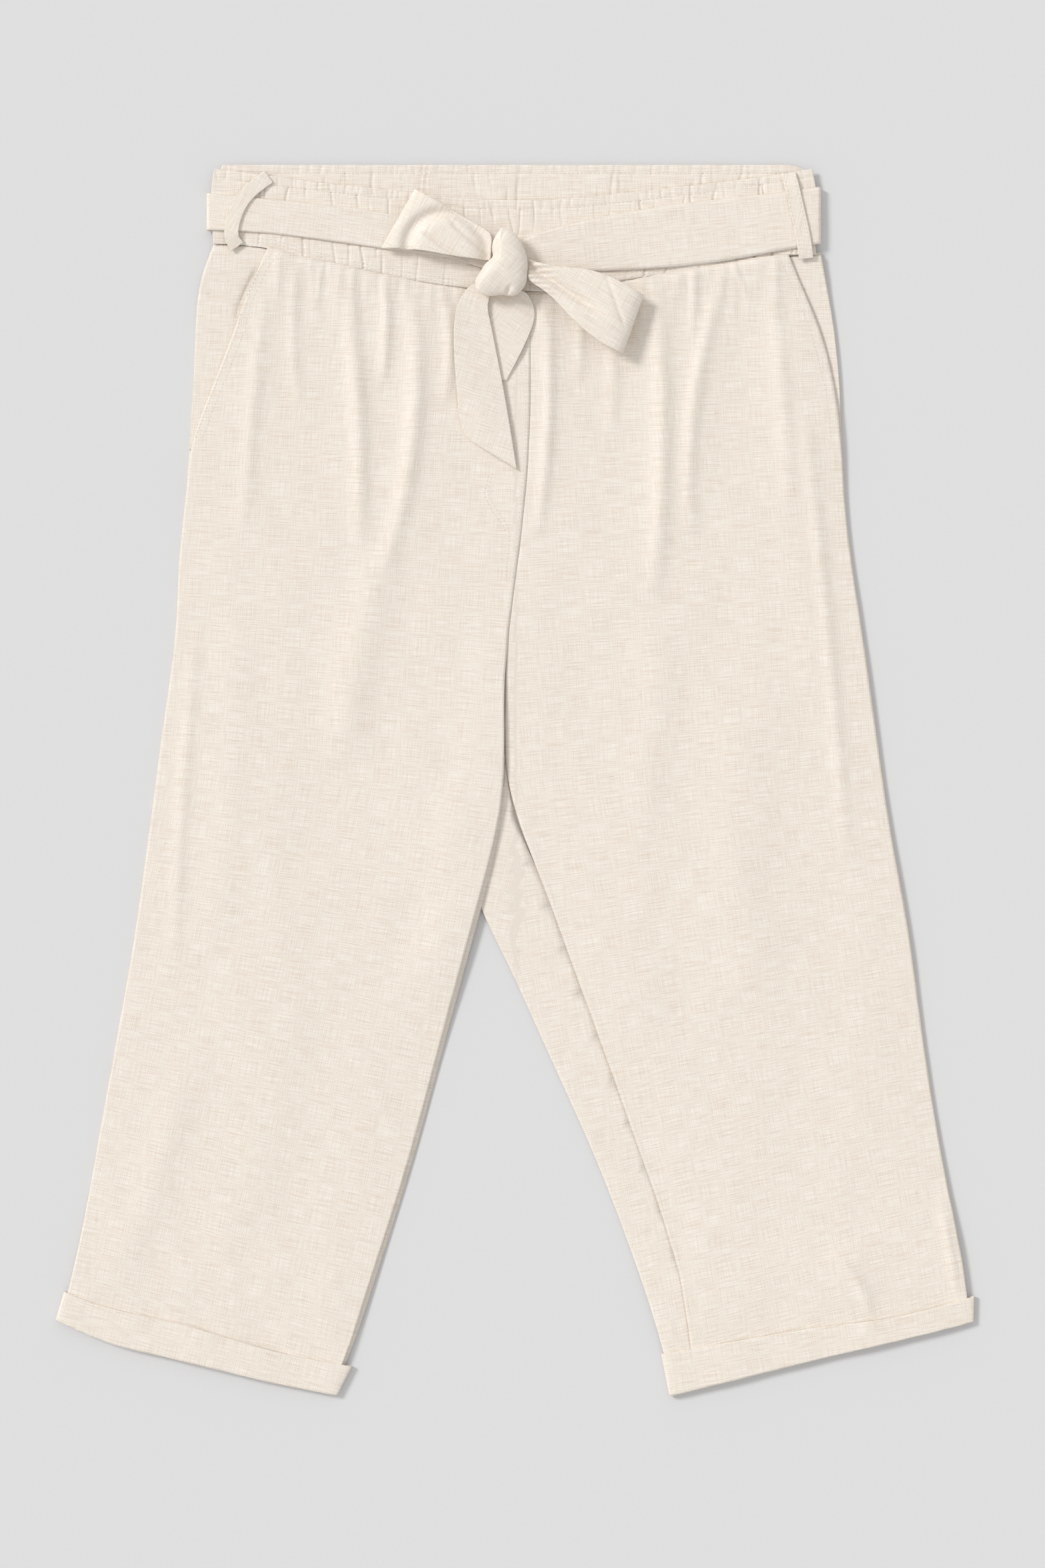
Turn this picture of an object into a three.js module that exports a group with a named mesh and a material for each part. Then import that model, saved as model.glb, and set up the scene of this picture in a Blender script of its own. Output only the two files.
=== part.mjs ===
// Cropped pull-on trousers of slubbed linen with a tied sash belt, lying flat on their back.
// Millimetres. X runs across, from the left leg to the right leg as seen from above, Y runs from the hems
// to the waist, and Z up from the surface that the trousers lie on. The origin is on that surface, under
// the middle of the whole outline.
import * as THREE from "three";

// ---------------------------------------------------------------- driving sizes
const CLOTH = 1.0; // wall of one layer of cloth
const SASH = 1.4; // the sash is two layers, turned and pressed
const GAP = 0.3; // between pieces at a seam, and between layers pressed together
const AIR = 0.8; // between the back and the front of a leg
const PUFF = 1.0; // how far the front swells between its seams
const PUFF_WIDTH = 32; // how far from a seam that swelling takes

const SASH_ZONE = { from: 348, to: 370, lift: SASH + GAP }; // the back lies on the sash above this height
const HEM_LIFT = CLOTH + GAP; // the leg lies on the turn-up's back layer
const CROTCH = { full: 30, none: 115, low: -125, lowNone: -185 }; // heights where the left leg lies on the right
const CROTCH_LIFT = 2 * CLOTH + AIR + 2 * GAP;
const POCKET_RISE = 1.1; // the front panel's height over the side front
const CENTRE_BACK = -8; // x of the centre back seam

// A table's rows as objects with named columns.
const table = (names, rows) =>
  rows.map((row) => Object.fromEntries(names.split(" ").map((name, i) => [name, row[i]])));

// Outer edges of both legs from the waist seam to the hem.
const SIDE = table("y left right", [
  [386, -217.5, 218.5],
  [367, -226, 221.5],
  [337, -230, 227.5],
  [294, -231.5, 232.5],
  [241, -235, 234.5],
  [202, -237.5, 236.5],
  [154, -243, 242],
  [106, -244.5, 249.5],
  [34, -254.5, 259.5],
  [-38, -264, 270],
  [-110, -274, 283],
  [-182, -286.5, 292.5],
  [-254, -299.5, 303.5],
  [-326, -312.5, 317.5],
  [-364, -321.5, 324.5],
  [-386, -326.5, 326],
]);

// Slanted edges of the pockets, cut out of the front panels.
const POCKET = table("y left right", [
  [386, -177.5, 196],
  [368, -186, 200.5],
  [341, -198.5, 211.5],
  [325, -201.5, 219],
  [306, -209.5, 224.5],
  [285, -217.5, 229],
  [265, -225.5, 232.2],
  [244, -233.8, 234.4],
]);

// Seam between the front waistband and the front panels, and the waistband's top edge.
const WAIST = table("x seam top", [
  [-220, 386.5, 440.5],
  [-177, 385, 435],
  [-165, 379, 433.5],
  [-138, 374.5, 429.5],
  [-94, 364.5, 425.5],
  [-41, 355, 418.5],
  [9, 352, 417],
  [40, 354.5, 418.5],
  [78, 360.5, 422.5],
  [136, 370, 429],
  [179, 377, 434],
  [218, 379, 441],
]);

// Ends of the waistband, pulled in a little under the sash.
const WAIST_END = table("y left right", [
  [443, -211, 208],
  [440, -217, 213],
  [428, -219, 216],
  [408, -219, 217],
  [395, -218, 213.5],
  [386, -217.5, 213.5],
  [380, -217.5, 216],
]);

// Centre front seam from the waist to the crotch, in plan.
const CENTRE_FRONT = table("x y", [
  [9, 352],
  [10, 318],
  [9, 240],
  [4.5, 190],
  [1, 156],
  [-4, 123],
  [-7.7, 82],
  [-7.7, -7],
]);

// Inner edge of the left leg from the crotch to the hem.
const LEFT_INNER = table("x y", [
  [-7.7, -7],
  [-11.5, -38],
  [-21, -77],
  [-30, -110],
  [-49.5, -182],
  [-75.5, -278],
  [-103, -364],
  [-115, -402],
  [-121, -421],
  [-131.5, -440],
]);
const INSEAM_SHOWS = 3; // the left back panel shows this far past the inseam

// Inseam of the right leg, which lies on its front, and the fold of the back panel inside it.
const RIGHT_INSEAM = table("x y", [
  [-7.5, -7],
  [15.5, -61],
  [42, -133],
  [64, -193],
  [87, -258],
  [112.5, -332],
  [123.5, -380],
  [129.5, -436.5],
]);
const RIGHT_FOLD = table("x y", [
  [-8, 10],
  [-16, -7],
  [-26, -25],
  [-36, -62],
  [-24.5, -93],
  [-4, -134],
  [17.5, -182],
  [60.5, -278],
  [92.5, -364],
  [101, -395],
  [108, -412],
  [113.5, -440],
]);

// Turn-ups: top and bottom edge from the outer end to the inner end of the left leg, and the other way on the right.
const CUFF_LEFT = table("x top bottomX bottom", [
  [-325, -367, -331, -387.5],
  [-294, -378.5, -292, -404.5],
  [-236, -391.5, -238, -417.5],
  [-178, -409, -174, -433],
  [-118, -421, -128.5, -442],
]);
const CUFF_RIGHT = table("x top bottomX bottom", [
  [104.5, -412, 110.5, -442.5],
  [159, -402.5, 163, -429.5],
  [218, -392.5, 221, -415],
  [271, -386, 277, -402],
  [330, -370.5, 329.5, -389],
]);
const CUFF_ENTRY = { from: 75, to: 45 }; // the leg rises onto the turn-up's back layer this far above it

// The largest folds of the front, as ridges along a line: x and y from and to, half width and height.
const FOLDS = table("x1 y1 x2 y2 x3 y3 width height", [
  [-180, 352, -188, 270, -196, 175, 10, 1.1],
  [-122, 366, -113, 290, -113, 170, 9, 1.6],
  [-94, 358, -94, 325, -96, 292, 6, 1.1],
  [-75, 352, -72, 268, -93, 165, 9, 1.8],
  [-95, 165, -112, 100, -126, 20, 17, 1.2],
  [22, 348, 26, 280, 20, 200, 7, 1.3],
  [100, 358, 103, 280, 98, 140, 10, 1.7],
  [152, 368, 134, 316, 127, 190, 8, 1.5],
  [180, 372, 190, 300, 196, 190, 10, 1.0],
  [206, 262, 214, 190, 236, -40, 9, 1.0],
  [150, 60, 150, -40, 170, -160, 24, 0.9],
  [-170, 90, -180, -60, -205, -230, 26, 0.9],
  [232, -330, 240, -352, 262, -372, 8, 1.0],
]);

// ---------------------------------------------------------------- curves and heights
const smooth = (t) => {
  const s = Math.min(Math.max(t, 0), 1);
  return s * s * (3 - 2 * s);
};

// A column's value at a key, straight between rows and level past the ends.
function lookUp(rows, key, column, value) {
  const sorted = [...rows].sort((a, b) => a[key] - b[key]);
  if (value <= sorted[0][key]) return sorted[0][column];
  for (let i = 1; i < sorted.length; i++) {
    const low = sorted[i - 1];
    const high = sorted[i];
    if (value <= high[key]) {
      const share = (value - low[key]) / (high[key] - low[key]);
      return low[column] + share * (high[column] - low[column]);
    }
  }
  return sorted.at(-1)[column];
}

const point = (x, y) => new THREE.Vector2(x, y);
const through = (points) => new THREE.SplineCurve(points);
const along = (rows, x = "x", y = "y") => through(rows.map((row) => point(row[x], row[y])));
const moved = (curve, dx, dy) => through(curve.points.map((p) => point(p.x + dx, p.y + dy)));
function join(...curves) {
  const path = new THREE.CurvePath();
  curves.forEach((curve) => path.add(curve));
  return path;
}

// The front waist seam or top edge between two places, moved in Y.
function waistLine(column, fromX, toX, dy = 0, steps = 10) {
  const points = [];
  for (let i = 0; i <= steps; i++) {
    const x = fromX + ((toX - fromX) * i) / steps;
    points.push(point(x, lookUp(WAIST, "x", column, x) + dy));
  }
  return through(points);
}

// How far a place is past a turn-up's top edge, towards the hem.
function pastCuffTop(x, y) {
  const rows = x < -7.7 ? CUFF_LEFT : CUFF_RIGHT;
  return lookUp(rows, "x", "top", x) - y;
}

// The inner edge of the left leg, or what of the right leg lies under it, whichever is further left.
function overlapStart(y) {
  const inner = lookUp(LEFT_INNER, "y", "x", y) - 4;
  const hidden = lookUp(RIGHT_FOLD, "y", "x", y);
  return y > 10 ? CENTRE_BACK - 2 : Math.min(inner, hidden);
}

// Height of the left leg over the surface where it lies on the right leg.
function crotchLift(x, y) {
  const above = 1 - smooth((y - CROTCH.full) / (CROTCH.none - CROTCH.full));
  const below = smooth((y - CROTCH.lowNone) / (CROTCH.low - CROTCH.lowNone));
  return CROTCH_LIFT * above * below * smooth((x - overlapStart(y) + 42) / 26);
}

// Underside of the back panels.
function backUnder(x, y, leg) {
  const waist = SASH_ZONE.lift * smooth((y - SASH_ZONE.from) / (SASH_ZONE.to - SASH_ZONE.from));
  const hem = HEM_LIFT * smooth((pastCuffTop(x, y) + CUFF_ENTRY.from) / (CUFF_ENTRY.from - CUFF_ENTRY.to));
  return waist + hem + (leg === "left" ? crotchLift(x, y) : 0);
}

// Height of one fold at a place: a soft ridge along a bent line, fading out at both ends.
function foldHeight(fold, x, y) {
  const bend = new THREE.QuadraticBezierCurve(
    point(fold.x1, fold.y1),
    point(2 * fold.x2 - (fold.x1 + fold.x3) / 2, 2 * fold.y2 - (fold.y1 + fold.y3) / 2),
    point(fold.x3, fold.y3),
  );
  const share = (y - fold.y1) / (fold.y3 - fold.y1);
  if (share <= 0 || share >= 1) return 0;
  const across = (x - bend.getPoint(share).x) / fold.width;
  return fold.height * Math.exp(-across * across) * Math.sin(Math.PI * share) ** 0.6;
}

// Swelling of the front between its outer edge and its inseam.
function puff(x, y) {
  const outer = Math.min(x - lookUp(SIDE, "y", "left", y), lookUp(SIDE, "y", "right", y) - x);
  const leftInner = lookUp(LEFT_INNER, "y", "x", y) - x;
  const rightInner = x - lookUp(RIGHT_INSEAM, "y", "x", y);
  const inner = y > 60 ? PUFF_WIDTH : Math.max(leftInner, rightInner);
  const hem = smooth(-(pastCuffTop(x, y) + 14) / 40);
  return PUFF * smooth(outer / PUFF_WIDTH) * smooth(inner / PUFF_WIDTH) * hem;
}

// Height that the front panel takes over the side front at a pocket.
function pocketRise(x, y) {
  const side = x < 0 ? "left" : "right";
  const inside = Math.abs(lookUp(POCKET, "y", side, y)) - Math.abs(x);
  return POCKET_RISE * (1 - smooth((inside - 24) / 22)) * smooth((y - 200) / 30);
}

// Underside of the front panels.
function frontUnder(x, y, leg) {
  const folds = FOLDS.reduce((sum, fold) => sum + foldHeight(fold, x, y), 0);
  return backUnder(x, y, leg) + CLOTH + AIR + puff(x, y) + pocketRise(x, y) + folds;
}

// Underside of the front waistband, rippled by its gathers.
const WAISTBAND_UNDER = SASH_ZONE.lift + CLOTH + AIR;
const gathers = (x) => 0.5 + 0.3 * Math.sin(x / 6.1) + 0.2 * Math.sin(x / 9.7 + 1);

// ---------------------------------------------------------------- walls of cloth
// A patch between four curves as rows of points from top to bottom, each from left to right (Coons).
function patch({ left, right, top, bottom, rows, columns }) {
  const [l, r] = [left.getSpacedPoints(rows), right.getSpacedPoints(rows)];
  const [t, b] = [top.getSpacedPoints(columns), bottom.getSpacedPoints(columns)];
  const blend = (axis, i, j) => {
    const [u, v] = [j / columns, i / rows];
    const between = (1 - u) * l[i][axis] + u * r[i][axis] + (1 - v) * t[j][axis] + v * b[j][axis];
    const upper = (1 - v) * ((1 - u) * t[0][axis] + u * t[columns][axis]);
    const lower = v * ((1 - u) * b[0][axis] + u * b[columns][axis]);
    return between - upper - lower;
  };
  return l.map((_, i) => t.map((__, j) => point(blend("x", i, j), blend("y", i, j))));
}

// The middle of a wall whose underside has a given height at each place.
const onHeight = (grid, under, thickness = CLOTH) =>
  grid.map((row) => row.map((p) => new THREE.Vector3(p.x, p.y, under(p.x, p.y) + thickness / 2)));

// A closed wall around a grid of points, half its thickness to each side. In a ring, each row closes on itself.
function wall(grid, thickness, ring = false) {
  const rows = grid.length;
  const columns = grid[0].length;
  const pick = (i, j) => {
    const column = ring ? (j + columns) % columns : Math.min(Math.max(j, 0), columns - 1);
    return grid[Math.min(Math.max(i, 0), rows - 1)][column];
  };
  const positions = [];
  for (const side of [1, -1])
    for (let i = 0; i < rows; i++)
      for (let j = 0; j < columns; j++) {
        const down = pick(i + 1, j).clone().sub(pick(i - 1, j));
        const across = pick(i, j + 1).clone().sub(pick(i, j - 1));
        const normal = down.cross(across).normalize();
        const p = grid[i][j].clone().addScaledVector(normal, (side * thickness) / 2);
        positions.push(p.x, p.y, p.z);
      }
  const upper = (i, j) => i * columns + (j % columns);
  const lower = (i, j) => upper(i, j) + rows * columns;
  const faces = [];
  const quad = (a, b, c, d) => faces.push(a, b, c, a, c, d);
  const cells = ring ? columns : columns - 1;
  for (let i = 0; i < rows - 1; i++)
    for (let j = 0; j < cells; j++) {
      quad(upper(i, j), upper(i + 1, j), upper(i + 1, j + 1), upper(i, j + 1));
      quad(lower(i, j), lower(i, j + 1), lower(i + 1, j + 1), lower(i + 1, j));
    }
  const edge = (a, b) => quad(lower(...a), lower(...b), upper(...b), upper(...a));
  for (let j = 0; j < cells; j++) {
    edge([rows - 1, j], [rows - 1, j + 1]);
    edge([0, j + 1], [0, j]);
  }
  if (!ring)
    for (let i = 0; i < rows - 1; i++) {
      edge([i, 0], [i + 1, 0]);
      edge([i + 1, columns - 1], [i, columns - 1]);
    }
  const geometry = new THREE.BufferGeometry();
  geometry.setAttribute("position", new THREE.Float32BufferAttribute(positions, 3));
  geometry.setIndex(faces);
  geometry.computeVertexNormals();
  return geometry;
}

// A ribbon through stations, each with its two edge points in plan and the height of its middle.
function ribbon(stations, thickness, across = 3) {
  const grid = [];
  for (let i = 0; i <= across; i++)
    grid.push(
      stations.map((s) => {
        const v = i / across;
        const x = s.x1 + (s.x2 - s.x1) * v;
        const y = s.y1 + (s.y2 - s.y1) * v;
        const z = s.z + (s.z2 === undefined ? 0 : (s.z2 - s.z) * v);
        return new THREE.Vector3(x, y, z);
      }),
    );
  return wall(grid, thickness);
}

const trousers = new THREE.Group();
function piece(name, geometry, colour = 0xefe6da) {
  const material = new THREE.MeshStandardMaterial({ color: colour, roughness: 0.92, metalness: 0 });
  const mesh = new THREE.Mesh(geometry, material);
  mesh.name = name;
  trousers.add(mesh);
}

// ---------------------------------------------------------------- panels
const HEM_IN = 1.2; // the leg's edge stops this far above the turn-up's fold
function hemLine(side, fromX, toX, fromY, toY) {
  const rows = side === "left" ? CUFF_LEFT : CUFF_RIGHT;
  const points = [point(fromX, fromY)];
  for (let i = 1; i < 6; i++) {
    const x = fromX + ((toX - fromX) * i) / 6;
    points.push(point(x, lookUp(rows, "bottomX", "bottom", x) + HEM_IN));
  }
  return through([...points, point(toX, toY)]);
}

const sideRows = (fromY) => SIDE.filter((row) => row.y < fromY);
// The outer edge of a front panel: down the pocket's edge, then down the side seam.
function frontOuter(side) {
  const top = side === "left" ? 384.7 : 377.9;
  const pocket = POCKET.filter((row) => row.y < top - 5).map((row) => point(row[side], row.y));
  const seam = sideRows(235).map((row) => point(row[side], row.y));
  return through([point(lookUp(POCKET, "y", side, 386), top), ...pocket, ...seam]);
}

const LEFT_END = { x: -131.5, y: -440 }; // inner corner of the left hem
const leftInseam = along(LEFT_INNER);
const leftFrontInseam = through(
  LEFT_INNER.map((row) => point(row.x - INSEAM_SHOWS * smooth((-row.y - 7) / 40), row.y)),
);
const leftHem = hemLine("left", -326.5, LEFT_END.x, -386, LEFT_END.y);
const leftFrontHem = hemLine("left", -326.5, LEFT_END.x - INSEAM_SHOWS, -386, LEFT_END.y);
const rightFrontHem = hemLine("right", 129.5, 326, -436.5, -386);

function frontPanels() {
  const left = patch({
    left: frontOuter("left"),
    right: join(moved(along(CENTRE_FRONT), -GAP, -GAP), leftFrontInseam),
    top: waistLine("seam", -177.5, 9 - GAP, -2 * GAP),
    bottom: leftFrontHem,
    rows: 26,
    columns: 16,
  });
  const right = patch({
    left: join(moved(along(CENTRE_FRONT), GAP / 2, -GAP), moved(along(RIGHT_INSEAM), GAP / 2, 0)),
    right: frontOuter("right"),
    top: waistLine("seam", 9 + GAP / 2, 196, -3 * GAP),
    bottom: rightFrontHem,
    rows: 26,
    columns: 16,
  });
  piece("front_left", wall(onHeight(left, (x, y) => frontUnder(x, y, "left")), CLOTH));
  piece("front_right", wall(onHeight(right, (x, y) => frontUnder(x, y, "right")), CLOTH));
}

// The side front runs behind the pocket's edge, wide at the waist and narrow at the pocket's foot.
function sideFront(side) {
  const sign = side === "left" ? -1 : 1;
  const [topY, footY] = side === "left" ? [386, 238] : [378.5, 240];
  const [outer, inner] = [[], []];
  for (let i = 0; i <= 6; i++) {
    const y = topY + ((footY - topY) * i) / 6;
    const reach = 18 - 14 * (i / 6);
    outer.push(point(lookUp(SIDE, "y", side, y), y));
    inner.push(point(lookUp(POCKET, "y", side, y) - sign * reach, y));
  }
  const topAt = (x) => point(x, lookUp(WAIST, "x", "seam", x) - 4 * GAP);
  outer[0].copy(topAt(outer[0].x));
  inner[0].copy(topAt(inner[0].x));
  const [a, b] = side === "left" ? [outer, inner] : [inner, outer];
  const grid = patch({
    left: through(a),
    right: through(b),
    top: through([0, 1, 2, 3, 4].map((i) => topAt(a[0].x + ((b[0].x - a[0].x) * i) / 4))),
    bottom: new THREE.LineCurve(a[6], b[6]),
    rows: 9,
    columns: 3,
  });
  const under = (x, y) => backUnder(x, y, side) + CLOTH + GAP + 0.1;
  piece(`side_front_${side}`, wall(onHeight(grid, under), CLOTH));
}

const BACK_TOP = 380; // seam between the back panels and the back waistband
const backSide = (side) => {
  const top = point(lookUp(SIDE, "y", side, BACK_TOP), BACK_TOP);
  return through([top, ...sideRows(BACK_TOP - 5).map((row) => point(row[side], row.y))]);
};

function backLeft() {
  const seam = new THREE.LineCurve(point(CENTRE_BACK - GAP, BACK_TOP), point(CENTRE_BACK - GAP, -7));
  const left = backSide("left");
  const grid = patch({
    left,
    right: join(seam, leftInseam),
    top: new THREE.LineCurve(left.points[0], point(CENTRE_BACK - GAP, BACK_TOP)),
    bottom: leftHem,
    rows: 20,
    columns: 11,
  });
  piece("back_left", wall(onHeight(grid, (x, y) => backUnder(x, y, "left")), CLOTH));
}

// The right back panel lies flat to its fold, turns over it and runs back on top as far as the inseam.
const TURN = (CLOTH + AIR) / 2; // radius of that fold, at the middle of the cloth
function backRight() {
  const [rows, flat] = [24, 9];
  const outer = backSide("right").getSpacedPoints(rows);
  const fold = along(RIGHT_FOLD);
  const seam = new THREE.LineCurve(point(CENTRE_BACK, BACK_TOP), point(RIGHT_FOLD[0].x, RIGHT_FOLD[0].y));
  const inner = join(seam, fold).getSpacedPoints(rows);
  const inseam = moved(along(RIGHT_INSEAM), -GAP, 0);
  const foldStart = seam.getLength() / (seam.getLength() + fold.getLength());
  const grid = outer.map((end, i) => {
    const share = (i / rows - foldStart) / (1 - foldStart);
    const edge = inner[i];
    const under = backUnder(edge.x, edge.y, "right");
    const z = under + CLOTH / 2;
    const start = [];
    if (edge.y > -6)
      for (let k = 0; k < 6; k++) start.push(new THREE.Vector3(edge.x + 1.5 * k, edge.y, z));
    else {
      const last = inseam.getPointAt(Math.min(Math.max(share, 0), 1));
      last.x -= 5 * Math.max(1 - share / 0.15, 0); // clear of the front panel's corner at the crotch
      const away = last.clone().sub(edge).normalize();
      const at = (d, height) => new THREE.Vector3(edge.x + away.x * d, edge.y + away.y * d, height);
      const width = last.distanceTo(edge);
      for (const part of [1, 0.55]) {
        const p = at(width * part, 0);
        start.push(p.setZ(backUnder(p.x, p.y, "right") + CLOTH / 2 + 2 * TURN));
      }
      for (const angle of [90, 45, 0, -45]) {
        const turn = THREE.MathUtils.degToRad(angle);
        start.push(at(TURN * (1 - Math.cos(turn)), z + TURN + TURN * Math.sin(turn)));
      }
    }
    const first = start.at(-1);
    for (let k = 1; k <= flat; k++) {
      const x = first.x + ((end.x - first.x) * k) / flat;
      const y = first.y + ((end.y - first.y) * k) / flat;
      start.push(new THREE.Vector3(x, y, backUnder(x, y, "right") + CLOTH / 2));
    }
    return start;
  });
  piece("back_right", wall(grid, CLOTH));
}

// ---------------------------------------------------------------- waistband
function waistbands() {
  const ends = (side, topY, bottomY) =>
    through([
      point(lookUp(WAIST_END, "y", side, topY), topY),
      ...WAIST_END.filter((row) => row.y < topY - 3 && row.y > bottomY + 3).map((row) => point(row[side], row.y)),
      point(lookUp(WAIST_END, "y", side, bottomY), bottomY),
    ]);
  const front = patch({
    left: ends("left", 440, 386.5),
    right: ends("right", 440, 379),
    top: waistLine("top", -217, 213, 0, 16),
    bottom: waistLine("seam", -217.5, 216, 0, 16),
    rows: 4,
    columns: 38,
  });
  piece(
    "waistband_front",
    wall(onHeight(front, (x) => WAISTBAND_UNDER + gathers(x)), CLOTH),
  );
  const bottomY = BACK_TOP + GAP;
  const back = patch({
    left: ends("left", 443, bottomY),
    right: ends("right", 443, bottomY),
    top: new THREE.LineCurve(point(-211, 443), point(208, 443)),
    bottom: new THREE.LineCurve(point(-217.5, bottomY), point(216, bottomY)),
    rows: 3,
    columns: 24,
  });
  piece("waistband_back", wall(onHeight(back, () => SASH_ZONE.lift), CLOTH));
}

// ---------------------------------------------------------------- turn-ups
// A flattened tube round the leg: across its front, round one side edge, back underneath and round the other.
function cuff(name, rows) {
  const front = 2 * HEM_LIFT + CLOTH / 2 + AIR + CLOTH; // height of the middle of its upper layer
  const radius = (front - CLOTH / 2) / 2;
  const lines = [along(rows, "x", "top"), along(rows, "bottomX", "bottom")];
  const [bands, across, turns] = [2, 12, 3];
  const grid = [];
  for (let i = 0; i <= bands; i++) {
    const at = (s) => {
      const [top, bottom] = lines.map((line) => line.getPointAt(s));
      return top.lerp(bottom, i / bands);
    };
    const ends = [at(0), at(1)];
    const margin = radius / ends[0].distanceTo(ends[1]);
    const row = [];
    const layer = (s, z) => {
      const p = at(s);
      row.push(new THREE.Vector3(p.x, p.y, z));
    };
    const turn = (s, out) => {
      for (let k = 1; k < turns; k++) {
        const angle = (Math.PI * k) / turns;
        const reach = margin * (1 - Math.sin(angle));
        layer(s + out * (margin - reach), CLOTH / 2 + radius * (1 + out * Math.cos(angle)));
      }
    };
    for (let j = 0; j <= across; j++) {
      const bulge = 0.5 * Math.sin((Math.PI * j) / across);
      layer(margin + ((1 - 2 * margin) * j) / across, front + bulge);
    }
    turn(1 - margin, 1);
    for (let j = across; j >= 0; j--) layer(margin + ((1 - 2 * margin) * j) / across, CLOTH / 2);
    turn(margin, -1);
    grid.push(row);
  }
  piece(name, wall(grid, CLOTH, true));
}

// ---------------------------------------------------------------- sash belt
const SASH_FRONT = WAISTBAND_UNDER + CLOTH + 1 + GAP + SASH / 2; // height of its middle over the waistband
const SASH_BACK = SASH / 2;

// Upper and lower edge of each front stretch, from the knot to the side.
const SASH_LEFT = table("x top bottom", [
  [-11, 386, 368],
  [-40, 396, 375],
  [-97, 409, 382.5],
  [-141, 414.5, 389],
  [-184, 418, 394.5],
  [-219, 422, 395.5],
]);
const SASH_RIGHT = table("x top bottom", [
  [-7, 382, 366],
  [10, 391, 366],
  [33, 399, 365.5],
  [67, 406.5, 366],
  [118, 415, 369],
  [153, 418.5, 373.5],
  [192, 422.5, 381],
  [216, 426.5, 385.5],
]);
const SASH_TURN_IN = 22; // how far each front stretch runs back under the waistband

function sashStretch(name, rows, side) {
  const sign = side === "left" ? -1 : 1;
  const radius = (SASH_FRONT - SASH_BACK) / 2;
  const last = rows.at(-1);
  const edges = (x) => ({ y1: lookUp(rows, "x", "top", x), y2: lookUp(rows, "x", "bottom", x) });
  const station = (x, z) => ({ x1: x, x2: x, z, ...edges(x) });
  const stations = rows.map((row) => station(row.x, SASH_FRONT));
  for (const angle of [60, 30, 0, -30, -60, -90]) {
    const turn = THREE.MathUtils.degToRad(angle);
    const x = last.x + sign * radius * Math.cos(turn);
    stations.push({ ...station(last.x, SASH_BACK + radius * (1 + Math.sin(turn))), x1: x, x2: x });
  }
  stations.push(station(last.x - sign * SASH_TURN_IN, SASH_BACK));
  const end = stations.at(-1);
  Object.assign(end, { y1: last.top, y2: last.bottom });
  piece(name, ribbon(side === "left" ? stations.reverse() : stations, SASH, 2));
}

function sashBack() {
  const [left, right] = [SASH_LEFT.at(-1), SASH_RIGHT.at(-1)];
  const x1 = left.x + SASH_TURN_IN + GAP;
  const x2 = right.x - SASH_TURN_IN - GAP;
  const stations = [
    { x1, x2: x1, y1: left.top, y2: left.bottom },
    { x1: -120, x2: -120, y1: 424, y2: 389 },
    { x1: -40, x2: -40, y1: 425, y2: 385 },
    { x1: 60, x2: 60, y1: 425.5, y2: 384 },
    { x1: x2, x2, y1: right.top, y2: right.bottom },
  ].map((s) => ({ ...s, z: SASH_BACK }));
  piece("sash_back", ribbon(stations, SASH, 1));
}

// ---------------------------------------------------------------- knot, bow and tails
// Outline of the knot in plan: distance from its middle by direction, in degrees from +X.
const KNOT = { x: -8, y: 371, z: 16.6, up: 8.6, down: 8.2 };
const KNOT_OUTLINE = table("angle reach", [
  [0, 16.5],
  [35, 17],
  [70, 22],
  [100, 27],
  [130, 20],
  [165, 12.5],
  [200, 17],
  [225, 25.5],
  [255, 24],
  [285, 24],
  [320, 19],
  [360, 16.5],
]);

function knot() {
  const ball = new THREE.SphereGeometry(1, 24, 12);
  ball.rotateX(Math.PI / 2);
  const at = ball.getAttribute("position");
  for (let i = 0; i < at.count; i++) {
    const [x, y, z] = [at.getX(i), at.getY(i), at.getZ(i)];
    const angle = (THREE.MathUtils.radToDeg(Math.atan2(y, x)) + 360) % 360;
    const reach = lookUp(KNOT_OUTLINE, "angle", "reach", angle);
    const flat = z > 0 ? KNOT.up * z : KNOT.down * z;
    at.setXYZ(i, KNOT.x + x * reach, KNOT.y + y * reach, KNOT.z + flat);
  }
  piece("knot", ball);
}

// Each bow loop runs out from the knot on top, turns over its end and runs back beneath.
const BOW = table("x1 y1 x2 y2 z", [
  [-22.5, 393.5, -23.5, 375, 16.6],
  [-32, 400.5, -42.5, 374.5, 16.8],
  [-50, 412, -66, 380, 16],
  [-68, 421.5, -91, 382, 14.4],
  [-72, 424, -96, 382, 11.6],
  [-68, 421.5, -91, 382.5, 9.4],
  [-50, 411, -64, 382, 8.4],
  [-33, 399, -42, 374, 8.3],
  [-19, 388, -26, 369, 8.3],
]);
const BOW_RIGHT = table("x1 y1 x2 y2 z", [
  [9.4, 373, 8.6, 357.5, 16.6],
  [29, 367, 24, 349.5, 17],
  [53, 367, 40, 330, 18.5],
  [76, 356.5, 60, 313, 19.5],
  [87, 350, 72.5, 307.5, 18.8],
  [91, 347.5, 76, 305.5, 15.8],
  [86, 350.5, 71, 308.5, 12.8],
  [54, 365, 42, 331, 10.5],
  [30, 366, 26, 350, 9.2],
  [12, 370, 11, 357, 9.2],
]);

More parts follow.
